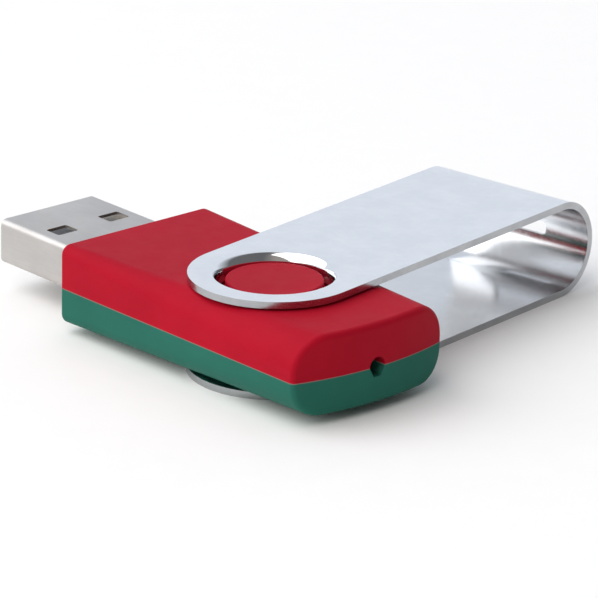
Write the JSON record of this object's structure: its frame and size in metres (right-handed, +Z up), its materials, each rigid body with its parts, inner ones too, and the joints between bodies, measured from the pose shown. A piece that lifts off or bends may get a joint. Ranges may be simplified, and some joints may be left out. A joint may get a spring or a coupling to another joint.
{
  "type": "usb flash drive",
  "caption": "USB-A flash drive with a two-tone rounded body and a polished steel cover that swivels about a round boss to bare or cover the plug.",
  "frame": {"origin": "on the swivel axis, at the underside of the cover's lower arm, on which the drive lies", "axes": "+X along the body towards the plug's tip, +Z up along the swivel axis"},
  "size_m": [0.0487, 0.0496, 0.0098],
  "materials": {
    "red_plastic": "satin moulded",
    "green_plastic": "satin moulded",
    "polished_steel": "mirror polished",
    "plug_steel": "fine satin",
    "insulator_plastic": "moulded",
    "gold_contact": "thin gold plating",
    "board_laminate": "solder mask",
    "chip_plastic": "moulded",
    "can_metal": "nickel plated",
    "lamp_plastic": "clear moulding",
    "capacitor_ceramic": "fired ceramic",
    "resistor_ceramic": "coated ceramic"
  },
  "bodies": {
    "drive": {"upper_shell": "red_plastic", "lower_shell": "green_plastic", "plug_shell": "plug_steel", "plug_insulator": "insulator_plastic", "power_contact": "gold_contact", "data_minus_contact": "gold_contact", "data_plus_contact": "gold_contact", "ground_contact": "gold_contact", "circuit_board": "board_laminate", "flash_memory_chip": "chip_plastic", "controller_chip": "chip_plastic", "clock_crystal": "can_metal", "indicator_lamp": "lamp_plastic", "voltage_regulator": "chip_plastic", "input_capacitor": "capacitor_ceramic", "core_capacitor": "capacitor_ceramic", "memory_capacitor": "capacitor_ceramic", "pull_up_resistor": "resistor_ceramic", "lamp_resistor": "resistor_ceramic", "memory_resistor": "resistor_ceramic", "data_resistors": "resistor_ceramic"},
    "cover": {"swivel_cover": "polished_steel"}
  },
  "joints": [
    {"name": "cover_swivel", "type": "hinge", "parent": "drive", "child": "cover", "pos_m": [0, 0, 0.0049], "axis": [0, 0, 1], "continuous": true}
  ]
}
